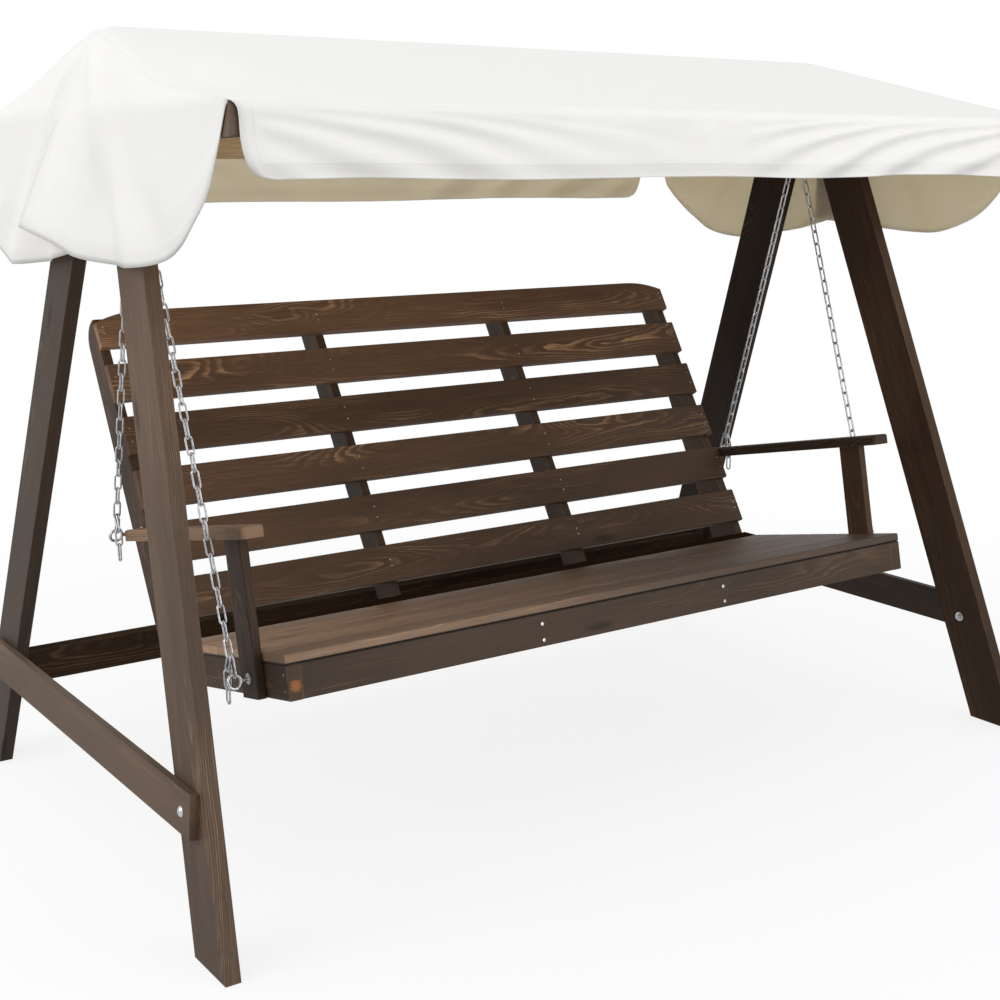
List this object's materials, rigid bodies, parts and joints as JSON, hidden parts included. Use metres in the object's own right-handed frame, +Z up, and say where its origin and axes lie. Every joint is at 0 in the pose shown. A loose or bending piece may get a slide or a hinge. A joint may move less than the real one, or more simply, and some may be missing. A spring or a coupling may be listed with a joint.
{
  "type": "garden swing seat",
  "caption": "Wooden garden swing: a slatted bench with armrests hung on chains from a leaning A-frame stand, under a pale scalloped cloth canopy.",
  "frame": {"origin": "centre of the footprint on the ground", "axes": "+X along the bench to the right as seen from the front, +Y to the back, +Z up"},
  "size_m": [2.1188, 1.338, 1.5969],
  "materials": {
    "stained_wood": "dark brown wood stain, grain showing, slightly satin",
    "zinc_steel": "bright zinc plated",
    "canopy_cloth": "off-white woven polyester, matt"
  },
  "bodies": {
    "stand": {"left_front_leg": "stained_wood", "left_rear_leg": "stained_wood", "right_front_leg": "stained_wood", "right_rear_leg": "stained_wood", "left_brace": "stained_wood", "right_brace": "stained_wood", "rear_crossbeam": "stained_wood", "ridge_beam": "stained_wood", "left_canopy_arm": "stained_wood", "right_canopy_arm": "stained_wood", "front_canopy_rail": "stained_wood", "rear_canopy_rail": "stained_wood", "brace_bolts": "zinc_steel", "canopy_arm_bolts": "zinc_steel", "frame_nuts": "zinc_steel", "ridge_screws": "zinc_steel", "hanger_eye_bolts": "zinc_steel", "canopy_roof": "canopy_cloth", "front_valance": "canopy_cloth", "rear_valance": "canopy_cloth", "left_front_end_lobe": "canopy_cloth", "left_rear_end_lobe": "canopy_cloth", "right_front_end_lobe": "canopy_cloth", "right_rear_end_lobe": "canopy_cloth"},
    "bench": {"seat_front_rail": "stained_wood", "seat_rear_rail": "stained_wood", "seat_left_rail": "stained_wood", "seat_right_rail": "stained_wood", "seat_left_bearer": "stained_wood", "seat_right_bearer": "stained_wood", "seat_board_1": "stained_wood", "seat_board_2": "stained_wood", "seat_board_3": "stained_wood", "seat_board_4": "stained_wood", "seat_board_5": "stained_wood", "seat_rear_strip": "stained_wood", "left_outer_stile": "stained_wood", "left_middle_stile": "stained_wood", "right_middle_stile": "stained_wood", "right_outer_stile": "stained_wood", "back_slat_1": "stained_wood", "back_slat_2": "stained_wood", "back_slat_3": "stained_wood", "back_slat_4": "stained_wood", "back_slat_5": "stained_wood", "back_top_slat": "stained_wood", "left_post": "stained_wood", "right_post": "stained_wood", "left_armrest": "stained_wood", "right_armrest": "stained_wood", "top_carabiners": "zinc_steel", "left_front_chain": "zinc_steel", "right_front_chain": "zinc_steel", "left_rear_chain": "zinc_steel", "right_rear_chain": "zinc_steel", "chain_hooks": "zinc_steel", "front_eye_bolts": "zinc_steel", "rear_eye_bolts": "zinc_steel", "eye_bolt_washers": "zinc_steel", "eye_bolt_nuts": "zinc_steel"}
  },
  "joints": [
    {"name": "swing", "type": "hinge", "parent": "stand", "child": "bench", "pos_m": [0, -0.008, 1.439], "axis": [1, 0, 0], "range_deg": [-25, 25]}
  ]
}
